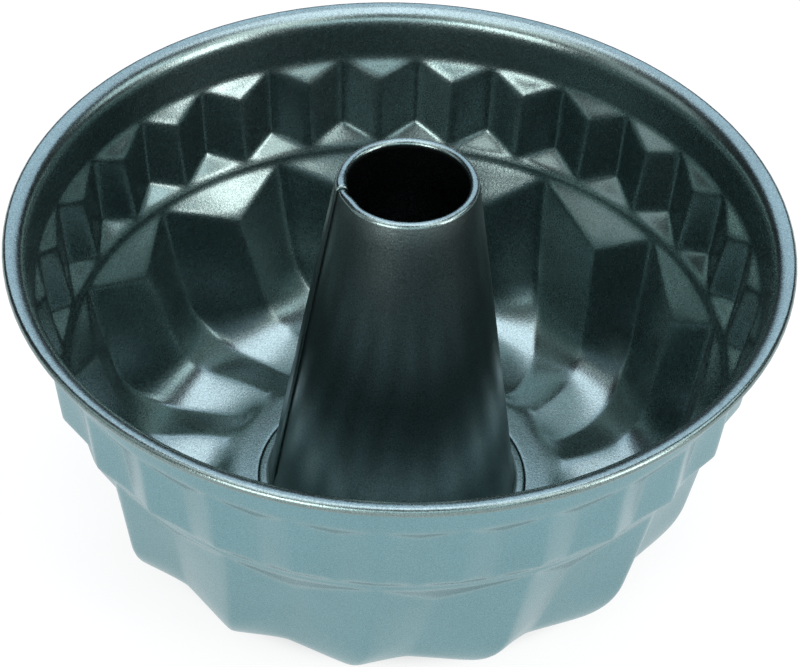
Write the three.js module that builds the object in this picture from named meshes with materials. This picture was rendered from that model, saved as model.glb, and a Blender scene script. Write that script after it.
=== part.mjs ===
// Fluted ring mould: a deep-drawn pan of coated steel sheet with a rolled rim, and a conical
// centre tube, rolled from the same sheet, whose foot is folded round the hole in the pan floor.
// Millimetres, +Z up. The ring's axis is Z and the ground that the flutes stand on is z = 0.
import * as THREE from "three";

// Sheet and fit
const SHEET = 0.6; // coated steel, both pieces
const FIT_GAP = 0.25; // between the tube's foot and the pan's seat

// Rolled rim and the smooth collar under it
const RIM_DIAMETER = 220;
const RIM_HEIGHT = 96.5; // top of the roll
const ROLL_HEIGHT = 3.2;
const ROLL_TUCK = 1.6; // straight return under the roll
const SHOULDER_RADIUS = 3.2; // wall turning over into the roll
const COLLAR_DEPTH = 15.4; // rim top to the first ring
const COLLAR_TAPER = 3.4;

// Upper band: a zigzag wall cut off by triangular facets, between two rings
const FLUTES = 14; // lower flutes; the upper band has two facets to each
const BAND_HEIGHT = 26.5;
const BAND_TAPER = 7.8;
const RIDGE_DROP = 5.2; // first ring to the top of a ridge
const RIDGE_INSET = 3.6;
const VALLEY_RISE = 5; // second ring to the foot of a valley
const VALLEY_OUTSET = 5.1;
const RING_WIDTH = 2.8; // smooth ring between the two bands
const RING_TAPER = 0.5;

// Lower flutes: a facet over each ridge, then ridges and valleys that swirl down to the floor
const FACET_DROP = 11.2;
const FACET_INSET = 7.6;
const VALLEY_DRAFT = 11.2; // degrees from upright
const VALLEY_FILLET = 25;
const RIDGE_DRAFT = 15; // degrees from upright
const RIDGE_FILLET = 12;
const SWIRL = 14; // degrees, clockwise from above, on the way to the floor
const SWIRL_EASE = 1.3; // power that holds the swirl back near the ring band
const FLOOR_HEIGHT = 4.5; // upper face of the flat ring round the tube
const FLOOR_RING_RADIUS = 47; // inner end of the flutes
const FLUTE_RUNOUT = 1.5; // past that end the ring is flat on both faces
const SEAT_MARGIN = 1.2; // as far as this from the edge of the tube's seat
const FLOOR_LEAVE = 0.88; // share of a flute's floor that draws it on level from the fillet
const FLOOR_MEET = 0.16; // share that draws it level into the ring

// Centre tube
const TUBE_HEIGHT = 115.5; // top of the lip
const MOUTH_DIAMETER = 34; // clear width of the lip
const LIP_RADIUS = 1.4;
const LIP_TURN = 240; // degrees that the lip is rolled inwards
const CONE_FOOT_RADIUS = 36; // cone carried down to the flange
const FOOT_FILLET = 2.5;
const FLANGE_RADIUS = 38.95;
const HEM_GAP = 0.2; // between the two layers of the folded flange
const NECK_RADIUS = 34.5; // outside of the tube where it passes the hole
const CLINCH_WIDTH = 3; // fold that holds the tube under the floor
const SEAM_ANGLE = 195; // degrees, edge of the lap seam
const SEAM_LAP = 10; // degrees of doubled sheet
const SEAM_RAMP = 8; // degrees in which the upper layer settles
const SEAM_STEP = 0.4; // degrees, width of a sheet edge
const SEAM_FADE = 0.05; // share of the cone's length where the lap flattens at each end

// How finely round shapes are divided; an arc has twice its number of steps
const COLUMNS_PER_FLUTE = 4;
const TUBE_COLUMNS = 44;
const ROLL_STEPS = 3;
const SHOULDER_STEPS = 2;
const LIP_STEPS = 4;
const FILLET_STEPS = 2;
const FLUTE_ROWS = 13;

const RADIANS = Math.PI / 180;

// A point of a profile (x is the radius, y the height) turned round the axis.
function turned(profilePoint, angle, lift = 0) {
  const radius = profilePoint.x + lift;
  return new THREE.Vector3(radius * Math.cos(angle), radius * Math.sin(angle), profilePoint.y);
}

// Whether a cell of a grid is cut from its first corner to the opposite one: the shorter way.
function shorterCut(grid, row, column, next) {
  const first = grid[row][column].distanceTo(grid[row + 1][next]);
  const second = grid[row][next].distanceTo(grid[row + 1][column]);
  return first <= second;
}

// The back of a sheet: each point of its face moved by the sheet's thickness, square to the face.
// At a corner the faces round it count by the angle that they take up there.
function backOf(face, cuts) {
  const corner = (row, column) => row * face[0].length + column;
  const normals = face.flat().map(() => []);
  for (const corners of faceTriangles(face, cuts)) {
    const points = corners.map(([row, column]) => face[row][column]);
    const normal = new THREE.Triangle(...points).getNormal(new THREE.Vector3());
    corners.forEach(([row, column], i) => {
      const ahead = points[(i + 1) % 3].clone().sub(points[i]);
      const behind = points[(i + 2) % 3].clone().sub(points[i]);
      normals[corner(row, column)].push(normal.clone().multiplyScalar(ahead.angleTo(behind)));
    });
  }
  return face.map((points, row) =>
    points.map((point, column) => {
      const around = normals[corner(row, column)];
      const sum = around.reduce((total, normal) => total.add(normal), new THREE.Vector3());
      const slant = sum.length() / around.reduce((total, normal) => total + normal.length(), 0);
      return point.clone().addScaledVector(sum.normalize(), -SHEET / slant);
    }),
  );
}

// Triangles of a grid that is closed round its columns, as triples of [row, column].
function faceTriangles(face, cuts) {
  const triangles = [];
  const columns = face[0].length;
  for (let row = 0; row + 1 < face.length; row++) {
    for (let column = 0; column < columns; column++) {
      const next = (column + 1) % columns;
      const [a, b] = [[row, column], [row, next]];
      const [c, d] = [[row + 1, column], [row + 1, next]];
      if (cuts(face, row, column, next)) triangles.push([a, b, d], [a, d, c]);
      else triangles.push([a, b, c], [b, d, c]);
    }
  }
  return triangles;
}

// A closed solid of sheet between a face and its back, two grids of the same rows and columns.
function sheetGeometry(face, back, cuts) {
  const rows = face.length;
  const columns = face[0].length;
  const positions = [...face.flat(), ...back.flat()].flatMap((point) => point.toArray());
  const front = (row, column) => row * columns + column;
  const rear = (row, column) => rows * columns + row * columns + column;
  const index = [];
  for (const [a, b, c] of faceTriangles(face, cuts)) {
    index.push(front(...a), front(...b), front(...c));
    index.push(rear(...a), rear(...c), rear(...b));
  }
  for (let column = 0; column < columns; column++) {
    const next = (column + 1) % columns;
    index.push(front(0, column), rear(0, column), front(0, next));
    index.push(rear(0, column), rear(0, next), front(0, next));
    index.push(front(rows - 1, column), front(rows - 1, next), rear(rows - 1, column));
    index.push(rear(rows - 1, column), front(rows - 1, next), rear(rows - 1, next));
  }
  const geometry = new THREE.BufferGeometry();
  geometry.setAttribute("position", new THREE.Float32BufferAttribute(positions, 3));
  geometry.setIndex(index);
  geometry.computeVertexNormals();
  return geometry;
}

// Heights and radii that both pieces share
const flangeThickness = 2 * SHEET + HEM_GAP;
const seatHeight = FLOOR_HEIGHT - flangeThickness - FIT_GAP;
const seatRadius = FLANGE_RADIUS + FIT_GAP;
const holeRadius = NECK_RADIUS + FIT_GAP;

// The pan: from the free edge of the roll, over the rim, down the fluted wall to the hole.
function panBody() {
  const rimRadius = RIM_DIAMETER / 2;
  const rollRadius = ROLL_HEIGHT / 2;
  const rollCentre = rimRadius - rollRadius;
  const wallTop = rollCentre - SHOULDER_RADIUS;

  const rim = new THREE.Path();
  rim.moveTo(rollCentre - ROLL_TUCK, RIM_HEIGHT - ROLL_HEIGHT);
  rim.lineTo(rollCentre, RIM_HEIGHT - ROLL_HEIGHT);
  rim.absarc(rollCentre, RIM_HEIGHT - rollRadius, rollRadius, -Math.PI / 2, Math.PI / 2, false);
  const shoulder = new THREE.Path();
  shoulder.absarc(rollCentre, RIM_HEIGHT - SHOULDER_RADIUS, SHOULDER_RADIUS, Math.PI / 2, Math.PI, false);
  const rimRows = [...rim.getPoints(ROLL_STEPS), ...shoulder.getPoints(SHOULDER_STEPS).slice(1)];

  // Rings and the corners of the upper facets
  const ringOne = new THREE.Vector2(wallTop - COLLAR_TAPER, RIM_HEIGHT - COLLAR_DEPTH);
  const ringTwo = new THREE.Vector2(ringOne.x - BAND_TAPER, ringOne.y - BAND_HEIGHT);
  const ringThree = new THREE.Vector2(ringTwo.x - RING_TAPER, ringTwo.y - RING_WIDTH);
  const ridgeTop = new THREE.Vector2(ringOne.x - RIDGE_INSET, ringOne.y - RIDGE_DROP);
  const valleyFoot = new THREE.Vector2(ringTwo.x + VALLEY_OUTSET, ringTwo.y + VALLEY_RISE);
  const along = (from, to, height) =>
    new THREE.Vector2().lerpVectors(from, to, (from.y - height) / (from.y - to.y));
  const valleyTop = along(ringOne, valleyFoot, ridgeTop.y);
  const ridgeFoot = along(ridgeTop, ringTwo, valleyFoot.y);

  // Lower flutes: the profiles of a valley and of a ridge, below the facet over the ridge
  const facetTip = new THREE.Vector2(ringThree.x - FACET_INSET, ringThree.y - FACET_DROP);
  const fluteProfile = (top, draft, fillet, floor) => {
    const slope = draft * RADIANS;
    const centreHeight = floor + fillet;
    const touchHeight = centreHeight - fillet * Math.sin(slope);
    const touchRadius = top.x - (top.y - touchHeight) * Math.tan(slope);
    const centreRadius = touchRadius - fillet * Math.cos(slope);
    const length = centreRadius - FLOOR_RING_RADIUS;
    const profile = new THREE.Path();
    profile.moveTo(top.x, top.y);
    profile.lineTo(touchRadius, touchHeight);
    profile.absarc(centreRadius, centreHeight, fillet, -slope, -Math.PI / 2, true);
    profile.bezierCurveTo(
      centreRadius - length * FLOOR_LEAVE,
      floor,
      FLOOR_RING_RADIUS + length * FLOOR_MEET,
      FLOOR_HEIGHT,
      FLOOR_RING_RADIUS,
      FLOOR_HEIGHT,
    );
    return profile.getSpacedPoints(FLUTE_ROWS);
  };
  const valleyShoulder = new THREE.Vector2(
    ringThree.x - FACET_DROP * Math.tan(VALLEY_DRAFT * RADIANS),
    facetTip.y,
  );
  const valleyRows = fluteProfile(valleyShoulder, VALLEY_DRAFT, VALLEY_FILLET, SHEET);
  const ridgeRows = fluteProfile(facetTip, RIDGE_DRAFT, RIDGE_FILLET, FLOOR_HEIGHT);

  // Columns: an upper valley, an upper ridge, and so on round the pan
  const columns = FLUTES * COLUMNS_PER_FLUTE;
  const pitch = (2 * Math.PI) / columns;
  const halfFlute = COLUMNS_PER_FLUTE / 2;
  const upperShare = (column) => column % 2;
  const lowerShare = (column) => Math.abs(halfFlute - (column % COLUMNS_PER_FLUTE)) / halfFlute;
  const swirlAt = (radius) => {
    const inwards = (ringThree.x - radius) / (ringThree.x - FLOOR_RING_RADIUS);
    return -SWIRL * RADIANS * Math.sin((Math.min(Math.max(inwards, 0), 1) * Math.PI) / 2) ** SWIRL_EASE;
  };
  const everyColumn = (make) => Array.from({ length: columns }, (_, column) => make(column));
  const roundRow = (point) => everyColumn((column) => turned(point, column * pitch + swirlAt(point.x)));
  const upperRow = (valley, ridge) =>
    everyColumn((column) => turned(upperShare(column) ? ridge : valley, column * pitch));
  const lowerPoint = (point, column) => turned(point, column * pitch + swirlAt(point.x));
  const lowerRow = (valley, ridge) => {
    const corners = everyColumn((column) => {
      const share = lowerShare(column);
      if (share === 0) return lowerPoint(valley, column);
      if (share === 1) return lowerPoint(ridge, column);
      return null;
    });
    return corners.map((point, column) => {
      if (point) return point;
      const before = corners[column - 1];
      const after = corners[(column + 1) % columns];
      return before.clone().lerp(after, 0.5);
    });
  };

  // The half-way row of the facet over a ridge: its edge runs from ring to tip in a straight line
  const ringRow = roundRow(ringThree);
  const tipRow = lowerRow(valleyRows[0], ridgeRows[0]);
  const halfRow = ringRow.map((point, column) => {
    const share = lowerShare(column);
    if (share === 0 || share === 1) return point.clone().lerp(tipRow[column], 0.5);
    const valley = lowerShare(column - 1) === 0 ? column - 1 : (column + 1) % columns;
    const ridge = valley === column - 1 ? (column + 1) % columns : column - 1;
    return ringRow[valley].clone().lerp(tipRow[ridge], 0.5);
  });

  const roundRows = rimRows.map(roundRow);
  const upperRows = [
    roundRow(ringOne),
    upperRow(valleyTop, ridgeTop),
    upperRow(valleyFoot, ridgeFoot),
    roundRow(ringTwo),
  ];
  const facetRows = [ringRow, halfRow];
  const face = [
    ...roundRows,
    ...upperRows,
    ...facetRows,
    ...valleyRows.map((valley, row) => lowerRow(valley, ridgeRows[row])),
    roundRow(new THREE.Vector2(FLOOR_RING_RADIUS - FLUTE_RUNOUT, FLOOR_HEIGHT)),
    roundRow(new THREE.Vector2(seatRadius + SEAT_MARGIN, FLOOR_HEIGHT)),
    roundRow(new THREE.Vector2(seatRadius, FLOOR_HEIGHT)),
    roundRow(new THREE.Vector2(seatRadius, seatHeight)),
    roundRow(new THREE.Vector2(holeRadius, seatHeight)),
  ];

  // Facet edges run from the top of a valley to the foot of the ridge beside it
  const upperFacetRow = roundRows.length;
  const lowerFacetRow = upperFacetRow + upperRows.length;
  const lowerWallRow = lowerFacetRow + facetRows.length;
  const cuts = (grid, row, column, next) => {
    if (row >= upperFacetRow && row < lowerFacetRow) return upperShare(column) === 0;
    if (row >= lowerFacetRow && row < lowerWallRow) return lowerShare(column) < lowerShare(next);
    return shorterCut(grid, row, column, next);
  };
  const coating = new THREE.MeshStandardMaterial({ color: 0x4a5659, roughness: 0.42, metalness: 0.7 });
  const mesh = new THREE.Mesh(sheetGeometry(face, backOf(face, cuts), cuts), coating);
  mesh.name = "pan_body";
  return mesh;
}

// The tube: from the fold under the floor, through the hole, round the flange and up to the lip.
function centreTube() {
  const neckTop = seatHeight + FIT_GAP;
  const clinchTop = seatHeight - SHEET - FIT_GAP;
  const foldRadius = flangeThickness / 2;
  const foldCentre = FLANGE_RADIUS - foldRadius;
  const lipCentre = new THREE.Vector2(MOUTH_DIAMETER / 2 + LIP_RADIUS, TUBE_HEIGHT - LIP_RADIUS);

  // The cone touches the lip's round and meets the flange at the cone's foot
  const run = CONE_FOOT_RADIUS - lipCentre.x;
  const rise = lipCentre.y - FLOOR_HEIGHT;
  const lean = Math.atan2(run, rise) - Math.asin(LIP_RADIUS / Math.hypot(run, rise));
  const coneTop = new THREE.Vector2(
    lipCentre.x + LIP_RADIUS * Math.cos(lean),
    lipCentre.y + LIP_RADIUS * Math.sin(lean),
  );
  const filletReach = FOOT_FILLET * Math.tan((Math.PI / 2 - lean) / 2);
  const filletCentre = new THREE.Vector2(CONE_FOOT_RADIUS + filletReach, FLOOR_HEIGHT + FOOT_FILLET);

  const foot = new THREE.Path();
  foot.moveTo(NECK_RADIUS + CLINCH_WIDTH, clinchTop);
  foot.lineTo(NECK_RADIUS, clinchTop);
  foot.lineTo(NECK_RADIUS, neckTop);
  foot.lineTo(foldCentre, neckTop);
  foot.absarc(foldCentre, FLOOR_HEIGHT - foldRadius, foldRadius, -Math.PI / 2, Math.PI / 2, false);
  foot.absarc(filletCentre.x, filletCentre.y, FOOT_FILLET, -Math.PI / 2, lean - Math.PI, true);
  const footPoints = foot.getPoints(FILLET_STEPS);
  const coneFoot = footPoints.at(-1);
  const conePoint = (share) => new THREE.Vector2().lerpVectors(coneFoot, coneTop, share);
  const lip = new THREE.Path();
  lip.absarc(lipCentre.x, lipCentre.y, LIP_RADIUS, lean, lean + LIP_TURN * RADIANS, false);
  const profile = [
    ...footPoints,
    conePoint(SEAM_FADE),
    conePoint(1 - SEAM_FADE),
    ...lip.getPoints(LIP_STEPS),
  ];
  const lapped = profile.map((_, row) => row === footPoints.length || row === footPoints.length + 1);

  // The inside of the sheet, square to the profile
  const inside = profile.map((point, row) => {
    const before = profile[Math.max(row - 1, 0)];
    const after = profile[Math.min(row + 1, profile.length - 1)];
    const into = row > 0 ? point.clone().sub(before).normalize() : after.clone().sub(point).normalize();
    const out = row + 1 < profile.length ? after.clone().sub(point).normalize() : into;
    const leftOf = (direction) => new THREE.Vector2(-direction.y, direction.x);
    const mean = leftOf(into).add(leftOf(out)).normalize();
    return point.clone().addScaledVector(mean, SHEET / mean.dot(leftOf(into)));
  });

  // The lap seam: the upper layer stands one sheet proud of the lower one, which ends under it
  const settle = (behind) =>
    SHEET * Math.min(Math.max(1 - (behind - SEAM_LAP) / SEAM_RAMP, 0), 1);
  const inner = (behind) => (behind > SEAM_LAP ? settle(behind) : 0);
  const start = SEAM_LAP + SEAM_RAMP;
  const spread = 360 - SEAM_STEP - start;
  const plain = Array.from({ length: TUBE_COLUMNS + 1 }, (_, i) => start + (spread * i) / TUBE_COLUMNS);
  const behindSeam = [0, SEAM_LAP, SEAM_LAP + SEAM_STEP, ...plain].reverse();
  const angleOf = (behind) => (SEAM_ANGLE - behind) * RADIANS;
  const grid = (points, lift) =>
    points.map((point, row) =>
      behindSeam.map((behind) => turned(point, angleOf(behind), lapped[row] ? lift(behind) : 0)),
    );
  const coating = new THREE.MeshStandardMaterial({ color: 0x3c474b, roughness: 0.4, metalness: 0.7 });
  const mesh = new THREE.Mesh(
    sheetGeometry(grid(profile, settle), grid(inside, inner), shorterCut),
    coating,
  );
  mesh.name = "centre_tube";
  return mesh;
}

const mould = new THREE.Group();
mould.add(panBody(), centreTube());

export default mould;
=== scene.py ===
"""Fluted ring mould: a deep-drawn coated steel pan with a conical centre tube, seen as in the photo."""

from math import asin, atan2, cos, hypot, pi, radians, sin, tan

import bmesh
import bpy
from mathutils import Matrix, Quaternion, Vector


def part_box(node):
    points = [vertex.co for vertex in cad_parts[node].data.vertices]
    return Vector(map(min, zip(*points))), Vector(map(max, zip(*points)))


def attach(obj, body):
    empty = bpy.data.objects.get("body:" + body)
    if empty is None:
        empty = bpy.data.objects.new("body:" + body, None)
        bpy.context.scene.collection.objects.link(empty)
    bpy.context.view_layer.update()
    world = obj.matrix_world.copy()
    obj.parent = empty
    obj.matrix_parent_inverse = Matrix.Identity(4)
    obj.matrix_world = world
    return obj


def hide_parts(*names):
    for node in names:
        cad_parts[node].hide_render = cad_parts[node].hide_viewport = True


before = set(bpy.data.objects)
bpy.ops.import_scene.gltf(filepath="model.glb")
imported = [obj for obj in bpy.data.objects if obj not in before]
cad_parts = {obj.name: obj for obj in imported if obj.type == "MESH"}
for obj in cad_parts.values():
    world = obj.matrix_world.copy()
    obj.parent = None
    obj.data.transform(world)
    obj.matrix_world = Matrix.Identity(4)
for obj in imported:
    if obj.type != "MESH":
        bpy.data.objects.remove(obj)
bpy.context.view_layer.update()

# The photograph's view: a long lens, about a metre away, that looks down into the mould.
# The camera leans slightly, and stands almost straight in front of one flute.
MM = 0.001
VIEW_DISTANCE = 979.1 * MM
VIEW_HEIGHT_ANGLE = radians(41.3)
VIEW_SIDE_ANGLE = radians(1.79)
VIEW_ROLL = radians(2.09)
VIEW_AIM = Vector((0.87, 0.03, 59.76)) * MM
LENS = 155.5
SENSOR = 36.0

view_back = Vector((
    sin(VIEW_SIDE_ANGLE) * cos(VIEW_HEIGHT_ANGLE),
    -cos(VIEW_SIDE_ANGLE) * cos(VIEW_HEIGHT_ANGLE),
    sin(VIEW_HEIGHT_ANGLE),
))
camera_data = bpy.data.cameras.new("photo_camera")
camera_data.lens = LENS
camera_data.sensor_width = SENSOR
camera = bpy.data.objects.new("photo_camera", camera_data)
camera.location = VIEW_AIM + view_back * VIEW_DISTANCE
camera.rotation_mode = "QUATERNION"
level_view = (-view_back).to_track_quat("-Z", "Y")
camera.rotation_quaternion = level_view @ Quaternion((0, 0, 1), VIEW_ROLL)
bpy.context.scene.collection.objects.link(camera)
bpy.context.scene.camera = camera

# Pan body: one bowl deep-drawn from coated steel sheet. Its edge is rolled outwards for the rim, its wall
# carries a band of small facets and a band of swirled flutes, and its floor has a recessed seat and a hole.
SHEET = 0.6 * MM
FLUTES = 14
RIM_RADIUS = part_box("pan_body")[1].x
RIM_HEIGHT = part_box("pan_body")[1].z
ROLL_RADIUS = 1.6 * MM
ROLL_TUCK = 1.6 * MM
SHOULDER_RADIUS = 5.2 * MM
COLLAR_DEPTH = 15.4 * MM
COLLAR_TAPER = 1.4 * MM
BAND_HEIGHT = 26.5 * MM
BAND_TAPER = 7.8 * MM
RIDGE_DROP = 5.2 * MM
RIDGE_INSET = 3.9 * MM
VALLEY_RISE = 5 * MM
VALLEY_OUTSET = 5.1 * MM
RING_WIDTH = 2.8 * MM
RING_TAPER = 0.5 * MM
FACET_DROP = 11.2 * MM
FACET_INSET = 7.6 * MM
VALLEY_DRAFT = radians(11.2)
VALLEY_FILLET = 25 * MM
RIDGE_DRAFT = radians(15)
RIDGE_FILLET = 12 * MM
SWIRL = radians(14)
SWIRL_EASE = 1.3
FLOOR_HEIGHT = 4.5 * MM
FLOOR_RING_RADIUS = 47 * MM
FLOOR_LEAVE = 0.88
FLOOR_MEET = 0.16
FLOOR_MARGIN = 2 * MM
SEAT_RADIUS = 39.2 * MM
SEAT_DEPTH = 1.65 * MM
SEAT_EDGE = 0.15 * MM
SEAT_BEND = 0.3 * MM
HOLE_RADIUS = 34.75 * MM
CREASE_WIDTH = 1.4 * MM
MERGE_DISTANCE = 0.01 * MM
COLUMNS = 4
FLUTE_ROWS = 26
FLUTE_STEPS = 24
ROLL_STEPS = 8
SHOULDER_STEPS = 4
COLLAR_SHARES = (0.2, 0.5, 0.8)


def arc(centre, radius, start, end, steps):
    """Points of a round stretch of a profile."""
    turns = (start + (end - start) * step / steps for step in range(steps + 1))
    return [centre + radius * Vector((cos(turn), sin(turn))) for turn in turns]


def spaced(points, count):
    """The same line as points, divided into count equal lengths."""
    lengths = [0.0]
    for a, b in zip(points, points[1:]):
        lengths.append(lengths[-1] + (b - a).length)
    result = []
    stretch = 0
    for step in range(count + 1):
        wanted = lengths[-1] * step / count
        while stretch < len(points) - 2 and lengths[stretch + 1] < wanted:
            stretch += 1
        share = (wanted - lengths[stretch]) / (lengths[stretch + 1] - lengths[stretch])
        result.append(points[stretch].lerp(points[stretch + 1], share))
    return result


def bezier(a, b, c, d, steps):
    """Points of a curve that leaves a towards b and comes to d from c."""
    shares = (step / steps for step in range(steps + 1))
    return [
        (1 - t) ** 3 * a + 3 * (1 - t) ** 2 * t * b + 3 * (1 - t) * t * t * c + t ** 3 * d
        for t in shares
    ]


def flute_profile(top, draft, fillet, floor):
    """The way down a ridge or a valley: a straight wall, a round bend and a floor that rises to the ring."""
    bend_height = floor + fillet
    touch_height = bend_height - fillet * sin(draft)
    touch_radius = top.x - (top.y - touch_height) * tan(draft)
    bend_radius = touch_radius - fillet * cos(draft)
    run = bend_radius - FLOOR_RING_RADIUS
    wall = [top, Vector((touch_radius, touch_height))]
    bend = arc(Vector((bend_radius, bend_height)), fillet, -draft, -pi / 2, FLUTE_STEPS)
    end = bezier(
        bend[-1],
        Vector((bend_radius - run * FLOOR_LEAVE, floor)),
        Vector((FLOOR_RING_RADIUS + run * FLOOR_MEET, FLOOR_HEIGHT)),
        Vector((FLOOR_RING_RADIUS, FLOOR_HEIGHT)),
        FLUTE_STEPS,
    )
    return spaced(wall + bend[1:] + end[1:], FLUTE_ROWS)


roll_centre = Vector((RIM_RADIUS - ROLL_RADIUS, RIM_HEIGHT - ROLL_RADIUS))
shoulder_centre = Vector((roll_centre.x, RIM_HEIGHT - SHOULDER_RADIUS))
wall_top = roll_centre.x - SHOULDER_RADIUS
rim_path = [roll_centre + Vector((-ROLL_TUCK, -ROLL_RADIUS))]
rim_path += arc(roll_centre, ROLL_RADIUS, -pi / 2, pi / 2, ROLL_STEPS)
rim_path += arc(shoulder_centre, SHOULDER_RADIUS, pi / 2, pi, SHOULDER_STEPS)[1:]
ring_one = Vector((wall_top - COLLAR_TAPER, RIM_HEIGHT - COLLAR_DEPTH))
ring_two = ring_one - Vector((BAND_TAPER, BAND_HEIGHT))
ring_three = ring_two - Vector((RING_TAPER, RING_WIDTH))
ridge_top = ring_one - Vector((RIDGE_INSET, RIDGE_DROP))
valley_foot = ring_two + Vector((VALLEY_OUTSET, VALLEY_RISE))
valley_top = ring_one.lerp(valley_foot, RIDGE_DROP / (ring_one.y - valley_foot.y))
ridge_foot = ridge_top.lerp(ring_two, (ridge_top.y - valley_foot.y) / (ridge_top.y - ring_two.y))
facet_tip = ring_three - Vector((FACET_INSET, FACET_DROP))
valley_shoulder = ring_three - Vector((FACET_DROP * tan(VALLEY_DRAFT), FACET_DROP))
valley_rows = flute_profile(valley_shoulder, VALLEY_DRAFT, VALLEY_FILLET, SHEET)
ridge_rows = flute_profile(facet_tip, RIDGE_DRAFT, RIDGE_FILLET, FLOOR_HEIGHT)


def swirl_at(radius):
    """How far the flutes have turned where they have come in to this radius."""
    inwards = (ring_three.x - radius) / (ring_three.x - FLOOR_RING_RADIUS)
    return -SWIRL * sin(min(max(inwards, 0), 1) * pi / 2) ** SWIRL_EASE


def turned(point, column):
    """A point of a profile, at a column of the first flute."""
    angle = column * 2 * pi / (FLUTES * COLUMNS) + swirl_at(point.x)
    return Vector((point.x * cos(angle), point.x * sin(angle), point.y))


def ring(point):
    """A row that is round all the way."""
    return [turned(point, column) for column in range(COLUMNS + 1)]


def zigzag(valley, ridge):
    """A row of the upper band: valleys at the even columns, ridges at the odd ones."""
    return [turned(ridge if column % 2 else valley, column) for column in range(COLUMNS + 1)]


def fluted(valley, ridge):
    """A row of the lower band: a ridge at each end, a valley in the middle and straight sides."""
    left = turned(ridge, 0)
    middle = turned(valley, COLUMNS // 2)
    right = turned(ridge, COLUMNS)
    return [left, left.lerp(middle, 0.5), middle, middle.lerp(right, 0.5), right]


ring_row = ring(ring_three)
tip_row = fluted(valley_rows[0], ridge_rows[0])
# Half-way down the large facets, the columns beside the valley lie on the folds that slant to the ridges.
half_row = [a.lerp(b, 0.5) for a, b in zip(ring_row, tip_row)]
half_row[1] = ring_row[2].lerp(tip_row[0], 0.5)
half_row[3] = ring_row[2].lerp(tip_row[4], 0.5)
collar_rows = [rim_path[-1].lerp(ring_one, share) for share in COLLAR_SHARES]
ring_one_row = len(rim_path) + len(collar_rows)
pan_rows = [ring(point) for point in rim_path + collar_rows]
pan_rows += [ring(ring_one), zigzag(valley_top, ridge_top)]
pan_rows += [zigzag(valley_top.lerp(valley_foot, 0.5), ridge_top.lerp(ridge_foot, 0.5))]
pan_rows += [zigzag(valley_foot, ridge_foot), ring(ring_two), ring_row, half_row]
pan_rows += [fluted(valley, ridge) for valley, ridge in zip(valley_rows, ridge_rows)]
flutes_end = len(pan_rows) - 1
for radius, height in (
    (FLOOR_RING_RADIUS - FLOOR_MARGIN, FLOOR_HEIGHT),
    (SEAT_RADIUS + FLOOR_MARGIN, FLOOR_HEIGHT),
    (SEAT_RADIUS + SEAT_EDGE, FLOOR_HEIGHT),
    (SEAT_RADIUS, FLOOR_HEIGHT - SEAT_EDGE),
    (SEAT_RADIUS, FLOOR_HEIGHT - SEAT_DEPTH + SEAT_BEND),
    (SEAT_RADIUS - SEAT_BEND, FLOOR_HEIGHT - SEAT_DEPTH),
    (HOLE_RADIUS, FLOOR_HEIGHT - SEAT_DEPTH),
):
    pan_rows.append(ring(Vector((radius, height))))


def laid(rows):
    """A flat grid of sheet laid along rows of points, and its vertices by row and column."""
    shell = bmesh.new()
    last_row = len(rows) - 1
    last_column = len(rows[0]) - 1
    bmesh.ops.create_grid(shell, x_segments=last_column, y_segments=last_row, size=1)
    verts = {}
    for vert in shell.verts:
        row = round((vert.co.y + 1) / 2 * last_row)
        column = round((vert.co.x + 1) / 2 * last_column)
        verts[row, column] = vert
    for (row, column), vert in verts.items():
        vert.co = rows[row][column]
    return shell, verts


pan_mesh, grid = laid(pan_rows)


def crease(a, b):
    """Marks the fold between two grid points, cutting the face between them where it crosses one."""
    edge = pan_mesh.edges.get((grid[a], grid[b]))
    if edge is None:
        face = next(face for face in grid[a].link_faces if grid[b] in face.verts)
        bmesh.utils.face_split(face, grid[a], grid[b])
        edge = pan_mesh.edges.get((grid[a], grid[b]))
    edge.smooth = False


# Upper band: folds round its rings, along its ridges and valleys, and round its triangles.
ring_two_row = ring_one_row + 4
for column in range(COLUMNS):
    for row in (ring_one_row, ring_two_row, ring_two_row + 1):
        crease((row, column), (row, column + 1))
    for row in (ring_one_row, ring_two_row - 1):
        valley = column + column % 2
        ridge = column + 1 - column % 2
        crease((row, valley), (row + 1, ridge))
for column in range(COLUMNS + 1):
    first = ring_one_row + column % 2
    last = ring_two_row - 1 + column % 2
    for row in range(first, last):
        crease((row, column), (row + 1, column))

# Lower band: folds round its large facets and along its flutes, which fade out short of the floor ring.
facet_row = ring_two_row + 1
flute_row = facet_row + 2
fade_row = flutes_end - 2
crease((facet_row, 2), (facet_row + 1, 1))
crease((facet_row + 1, 1), (flute_row, 0))
crease((facet_row, 2), (facet_row + 1, 3))
crease((facet_row + 1, 3), (flute_row, 4))
for row in range(facet_row, fade_row):
    crease((row, 2), (row + 1, 2))
for row in range(flute_row, fade_row):
    crease((row, 0), (row + 1, 0))
    crease((row, 4), (row + 1, 4))

bmesh.ops.spin(
    pan_mesh,
    geom=pan_mesh.verts[:] + pan_mesh.edges[:] + pan_mesh.faces[:],
    cent=(0, 0, 0),
    axis=(0, 0, 1),
    angle=2 * pi * (FLUTES - 1) / FLUTES,
    steps=FLUTES - 1,
    use_duplicate=True,
)
bmesh.ops.remove_doubles(pan_mesh, verts=pan_mesh.verts[:], dist=MERGE_DISTANCE)
bmesh.ops.recalc_face_normals(pan_mesh, faces=pan_mesh.faces[:])
folds = [edge for edge in pan_mesh.edges if not edge.smooth]
bmesh.ops.bevel(
    pan_mesh,
    geom=folds,
    offset=CREASE_WIDTH,
    offset_type="OFFSET",
    segments=2,
    profile=0.5,
    affect="EDGES",
    clamp_overlap=False,
    material=-1,
)
for edge in pan_mesh.edges:
    edge.smooth = True
for face in pan_mesh.faces:
    face.smooth = True


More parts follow.
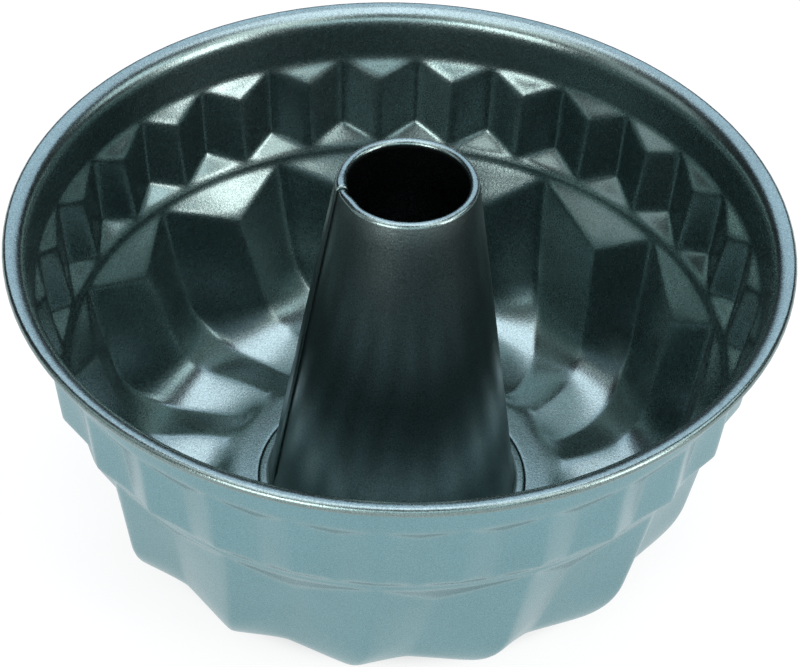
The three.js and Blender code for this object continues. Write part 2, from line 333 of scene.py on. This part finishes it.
def shown(name, shell, *materials):
    """Makes a finished mesh an object of the scene."""
    mesh = bpy.data.meshes.new(name)
    shell.to_mesh(mesh)
    shell.free()
    for material in materials:
        mesh.materials.append(material)
    made = bpy.data.objects.new(name, mesh)
    bpy.context.scene.collection.objects.link(made)
    return made


class Field:
    """A value that varies over a surface: a shader socket that takes part in arithmetic."""

    def __init__(self, tree, socket=None):
        self.tree = tree
        self.socket = socket

    def node(self, kind, settings, inputs, output=0):
        made = self.tree.nodes.new(kind)
        for name, value in settings.items():
            setattr(made, name, value)
        for name, value in inputs.items():
            if isinstance(value, Field):
                self.tree.links.new(value.socket, made.inputs[name])
            else:
                made.inputs[name].default_value = value
        return Field(self.tree, made.outputs[output])

    def math(self, operation, first, second):
        return self.node("ShaderNodeMath", {"operation": operation}, {0: first, 1: second})

    def __add__(self, other):
        return self.math("ADD", self, other)

    def __mul__(self, other):
        return self.math("MULTIPLY", self, other)

    def __sub__(self, other):
        return self.math("SUBTRACT", self, other)

    def __rsub__(self, other):
        return self.math("SUBTRACT", other, self)

    __radd__ = __add__
    __rmul__ = __mul__


GRAIN_SCALE = 1500
GRAIN_HEIGHT = 0.04 * MM
GRAIN_STRENGTH = 0.9
GRAIN_ROUGHNESS = 0.14
FLECK_SCALE = 2600
FLECK_CONTRAST = 1.6
CLOUD_SCALE = 45
CLOUD_CONTRAST = 0.4
CLOUD_ROUGHNESS = 0.04
TINT_BALANCE = 0.5
# The places of a Mix node's colour sockets in its lists.
MIX_FIRST_COLOUR = 6
MIX_SECOND_COLOUR = 7
MIX_COLOUR_RESULT = 2


def coating(name, colour, sheen, matt):
    """Non-stick coating on steel: dark, satin, with a fine metallic grain and faint clouding."""
    material = bpy.data.materials.new(name)
    material.use_nodes = True
    tree = material.node_tree
    shader = tree.nodes["Principled BSDF"]
    field = Field(tree)
    place = field.node("ShaderNodeTexCoord", {}, {}, "Object")
    grain = field.node("ShaderNodeTexNoise", {}, {"Vector": place, "Scale": GRAIN_SCALE, "Detail": 2})
    fleck = field.node("ShaderNodeTexNoise", {}, {"Vector": place, "Scale": FLECK_SCALE, "Detail": 1})
    cloud = field.node("ShaderNodeTexNoise", {}, {"Vector": place, "Scale": CLOUD_SCALE, "Detail": 3})
    brightness = fleck * FLECK_CONTRAST + cloud * CLOUD_CONTRAST - TINT_BALANCE
    tint = field.node(
        "ShaderNodeMix",
        {"data_type": "RGBA"},
        {"Factor": brightness, MIX_FIRST_COLOUR: (*colour, 1), MIX_SECOND_COLOUR: (*sheen, 1)},
        MIX_COLOUR_RESULT,
    )
    roughness = grain * GRAIN_ROUGHNESS + cloud * CLOUD_ROUGHNESS + matt
    bump = field.node(
        "ShaderNodeBump",
        {},
        {"Height": grain, "Strength": GRAIN_STRENGTH, "Distance": GRAIN_HEIGHT},
    )
    tree.links.new(tint.socket, shader.inputs["Base Color"])
    tree.links.new(roughness.socket, shader.inputs["Roughness"])
    tree.links.new(bump.socket, shader.inputs["Normal"])
    shader.inputs["Metallic"].default_value = 1
    return material


inside_coat = coating("pan_inside", (0.115, 0.158, 0.155), (0.253, 0.348, 0.345), 0.17)
outside_coat = coating("pan_outside", (0.138, 0.258, 0.28), (0.206, 0.366, 0.398), 0.19)


def thicken(sheet):
    """Gives a laid sheet its thickness behind its face, with its second coating on the back."""
    wall = sheet.modifiers.new("sheet", "SOLIDIFY")
    wall.thickness = SHEET
    wall.offset = -1
    wall.use_even_offset = True
    wall.use_quality_normals = True
    wall.material_offset = 1


pan = shown("pan", pan_mesh, inside_coat, outside_coat)
rounded = pan.modifiers.new("rounded", "SUBSURF")
rounded.levels = rounded.render_levels = 1
thicken(pan)
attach(pan, "root")
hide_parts("pan_body")

# Centre tube: a cone rolled from the same sheet and closed by a lap seam on its left. Its top is rolled
# inwards for a lip, and its foot is folded into a flange in the pan's seat and clinched under the floor.
# This copy leans a little, and its lip is pressed in beside the seam.
TUBE_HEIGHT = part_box("centre_tube")[1].z
MOUTH_RADIUS = 17 * MM
LIP_RADIUS = 1.4 * MM
LIP_TURN = radians(240)
CONE_FOOT_RADIUS = 36 * MM
FOOT_FILLET = 1.2 * MM
FLANGE_RADIUS = 38.95 * MM
FOLD_RADIUS = 0.6 * MM
NECK_RADIUS = 34.5 * MM
NECK_TOP = FLOOR_HEIGHT - 2 * FOLD_RADIUS
CLINCH_GAP = 0.25 * MM
CLINCH_TOP = FLOOR_HEIGHT - SEAT_DEPTH - SHEET - CLINCH_GAP
CLINCH_WIDTH = 3 * MM
SEAM_ANGLE = radians(195)
SEAM_LAP = radians(12)
SEAM_RAMP = radians(14)
SEAM_LIFT = 0.33 * MM
SEAM_FOOT = 0.15
SEAM_RISE = 20
TUBE_LEAN = 1.6 * MM
DENT_ANGLE = radians(213)
DENT_WIDTH = radians(15)
DENT_DEPTH = 0.45 * MM
DENT_FADE = 8
FOLD_STEPS = 6
FILLET_STEPS = 6
CONE_STEPS = 16
LIP_STEPS = 14
LAP_STEPS = 3
RAMP_STEPS = 4
TUBE_STEPS = 120
# Slot of the pan's lighter inside coat on the tube: a painted highlight on the lip, and the flange's coat.
PAINTED_LIP_HIGHLIGHT_AND_FLANGE_SLOT = 2

lip_centre = Vector((MOUTH_RADIUS + LIP_RADIUS, TUBE_HEIGHT - LIP_RADIUS))
cone_run = CONE_FOOT_RADIUS - lip_centre.x
cone_rise = lip_centre.y - FLOOR_HEIGHT
cone_lean = atan2(cone_run, cone_rise) - asin(LIP_RADIUS / hypot(cone_run, cone_rise))
fillet_reach = FOOT_FILLET * tan((pi / 2 - cone_lean) / 2)
fillet_centre = Vector((CONE_FOOT_RADIUS + fillet_reach, FLOOR_HEIGHT + FOOT_FILLET))
fold_centre = Vector((FLANGE_RADIUS - FOLD_RADIUS, FLOOR_HEIGHT - FOLD_RADIUS))
tube_path = [
    Vector((NECK_RADIUS + CLINCH_WIDTH, CLINCH_TOP)),
    Vector((NECK_RADIUS, CLINCH_TOP)),
    Vector((NECK_RADIUS, NECK_TOP)),
]
tube_path += arc(fold_centre, FOLD_RADIUS, -pi / 2, pi / 2, FOLD_STEPS)
tube_path += arc(fillet_centre, FOOT_FILLET, -pi / 2, cone_lean - pi, FILLET_STEPS)
lip_path = arc(lip_centre, LIP_RADIUS, cone_lean, cone_lean + LIP_TURN, LIP_STEPS)
cone_path = [tube_path[-1].lerp(lip_path[0], step / CONE_STEPS) for step in range(1, CONE_STEPS)]
tube_path += cone_path + lip_path


def seam_lift(behind):
    """How far the sheet stands proud over the lap, or sinks under it, at an angle behind its free edge."""
    proud = min(max(1 - (behind - SEAM_LAP) / SEAM_RAMP, 0), 1)
    sunk = min(max(1 - (2 * pi - behind) / SEAM_RAMP, 0), 1)
    return SEAM_LIFT * (proud - sunk)


def tube_point(point, normal, behind):
    """A point of the tube's outside, with the lap, the pressed stretch of the lip and the tube's lean."""
    angle = SEAM_ANGLE - behind
    height_share = min(max((point.y - FLOOR_HEIGHT) / (TUBE_HEIGHT - FLOOR_HEIGHT), 0), 1)
    off_dent = (angle + 2 * pi - DENT_ANGLE) / DENT_WIDTH
    dent = DENT_DEPTH * max(1 - off_dent * off_dent, 0) ** 2 * height_share ** DENT_FADE
    lift = seam_lift(behind) * min(SEAM_FOOT + height_share * SEAM_RISE, 1)
    radius = point.x + normal.x * lift - dent
    height = point.y + normal.y * lift
    return Vector((radius * cos(angle) + TUBE_LEAN * height_share, radius * sin(angle), height))


tube_turns = [SEAM_LAP * step / LAP_STEPS for step in range(LAP_STEPS)]
tube_turns += [SEAM_LAP + SEAM_RAMP * step / RAMP_STEPS for step in range(RAMP_STEPS)]
turn_start = SEAM_LAP + SEAM_RAMP
turn_length = 2 * pi + SEAM_LAP - turn_start
tube_turns += [turn_start + turn_length * step / TUBE_STEPS for step in range(TUBE_STEPS + 1)]
tube_rows = []
for row, point in enumerate(tube_path):
    before = tube_path[max(row - 1, 0)]
    after = tube_path[min(row + 1, len(tube_path) - 1)]
    along = (after - before).normalized()
    outwards = Vector((along.y, -along.x))
    tube_rows.append([tube_point(point, outwards, behind) for behind in reversed(tube_turns)])
tube_mesh = laid(tube_rows)[0]
# The lip's faces take the pan's lighter inside coat, a painted highlight against the darker tube; the
# flange's faces in the pan's seat take the same coat.
for face in tube_mesh.faces:
    face.smooth = True
    middle = face.calc_center_median()
    if middle.z > lip_centre.y or hypot(middle.x, middle.y) > fillet_centre.x:
        face.material_index = PAINTED_LIP_HIGHLIGHT_AND_FLANGE_SLOT
# The tube's outside coat is the pan's inside coating made darker: painted shade on the tube.
painted_shade_tube_coat = coating("tube_outside_painted_shade", (0.084, 0.11, 0.107), (0.21, 0.27, 0.264), 0.22)
# The bore's coat is darker still and has less fleck contrast: painted shade inside the bore.
painted_shade_bore_coat = coating("tube_bore_painted_shade", (0.1, 0.13, 0.13), (0.16, 0.2, 0.2), 0.17)
tube = shown("tube", tube_mesh, painted_shade_tube_coat, painted_shade_bore_coat, inside_coat, painted_shade_bore_coat)
thicken(tube)
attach(tube, "root")
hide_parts("centre_tube")

# Stage: a bright white sweep, dark in the middle where it shows only through the tube, and soft boxes
# above, behind, in front and on both sides. The coating mirrors them, so they stand where its facets look.
FLOOR_REACH = 4
FLOOR_GREY = 0.15
FLOOR_ROUGHNESS = 0.9
FLOOR_GLOW = 0.85
GLOW_RADIUS = 75 * MM
GLOW_START = 0.7
ROOM_COLOUR = (0.9, 0.97, 1, 1)
ROOM_LIGHT = 0.04
BOX_AIM = Vector((0, 0, 50 * MM))
POWER_PER_RADIANCE = 4

floor_paint = bpy.data.materials.new("white_sweep")
floor_paint.use_nodes = True
floor_tree = floor_paint.node_tree
floor_shader = floor_tree.nodes["Principled BSDF"]
floor_field = Field(floor_tree)
floor_place = floor_field.node("ShaderNodeTexCoord", {}, {}, "Object")
from_axis = floor_field.node("ShaderNodeVectorMath", {"operation": "LENGTH"}, {0: floor_place}, "Value")
glow = floor_field.node(
    "ShaderNodeMapRange",
    {"interpolation_type": "SMOOTHSTEP"},
    {"Value": from_axis, "From Min": GLOW_START * GLOW_RADIUS, "From Max": GLOW_RADIUS},
)
floor_tree.links.new(glow.socket, floor_shader.inputs["Emission Color"])
floor_shader.inputs["Base Color"].default_value = (FLOOR_GREY, FLOOR_GREY, FLOOR_GREY, 1)
floor_shader.inputs["Roughness"].default_value = FLOOR_ROUGHNESS
floor_shader.inputs["Emission Strength"].default_value = FLOOR_GLOW
floor_mesh = bmesh.new()
bmesh.ops.create_grid(floor_mesh, x_segments=1, y_segments=1, size=FLOOR_REACH)
floor = shown("floor", floor_mesh, floor_paint)

world = bpy.data.worlds.new("studio")
bpy.context.scene.world = world
world.use_nodes = True
room = world.node_tree.nodes["Background"]
room.inputs["Color"].default_value = ROOM_COLOUR
room.inputs["Strength"].default_value = ROOM_LIGHT
bpy.context.scene.view_settings.view_transform = "Standard"


def soft_box(name, azimuth, elevation, distance, width, height, radiance, colour):
    """A rectangular soft box that faces the mould, at degrees from the front and above the ground."""
    data = bpy.data.lights.new(name, "AREA")
    data.shape = "RECTANGLE"
    data.size = width
    data.size_y = height
    data.energy = POWER_PER_RADIANCE * radiance * width * height
    data.color = colour
    lamp = bpy.data.objects.new(name, data)
    towards = Vector((
        sin(radians(azimuth)) * cos(radians(elevation)),
        -cos(radians(azimuth)) * cos(radians(elevation)),
        sin(radians(elevation)),
    ))
    lamp.location = BOX_AIM + towards * distance
    lamp.rotation_mode = "QUATERNION"
    lamp.rotation_quaternion = towards.to_track_quat("Z", "Y")
    bpy.context.scene.collection.objects.link(lamp)


soft_box("top_box", 0, 90, 1.3, 1.1, 1.1, 2.75, (0.92, 0.9, 1))
soft_box("back_sweep", 180, 46, 1.8, 2.6, 1.2, 1.65, (0.74, 0.83, 1))
soft_box("right_box", 63, 16, 1.6, 0.6, 0.75, 5.6, (1, 0.92, 0.9))
soft_box("right_high_box", 50, 46, 1.6, 0.8, 0.85, 2.1, (1, 0.98, 0.96))
soft_box("right_side_box", 92, 34, 1.6, 0.7, 0.6, 2.2, (0.9, 0.97, 1))
soft_box("left_box", -27, 14, 1.6, 0.8, 0.8, 5.2, (1, 0.96, 0.94))
soft_box("left_side_box", -76, 22, 1.6, 0.9, 0.9, 0.7, (0.92, 0.98, 1))
soft_box("left_high_box", -42, 54, 1.6, 1.1, 0.7, 1.5, (1, 0.98, 0.96))
soft_box("front_box", 8, 27, 1.7, 1.6, 0.54, 1.6, (0.84, 0.96, 1))
soft_box("front_low_box", 8, 9, 1.8, 1.7, 0.5, 0.9, (0.84, 0.96, 1))
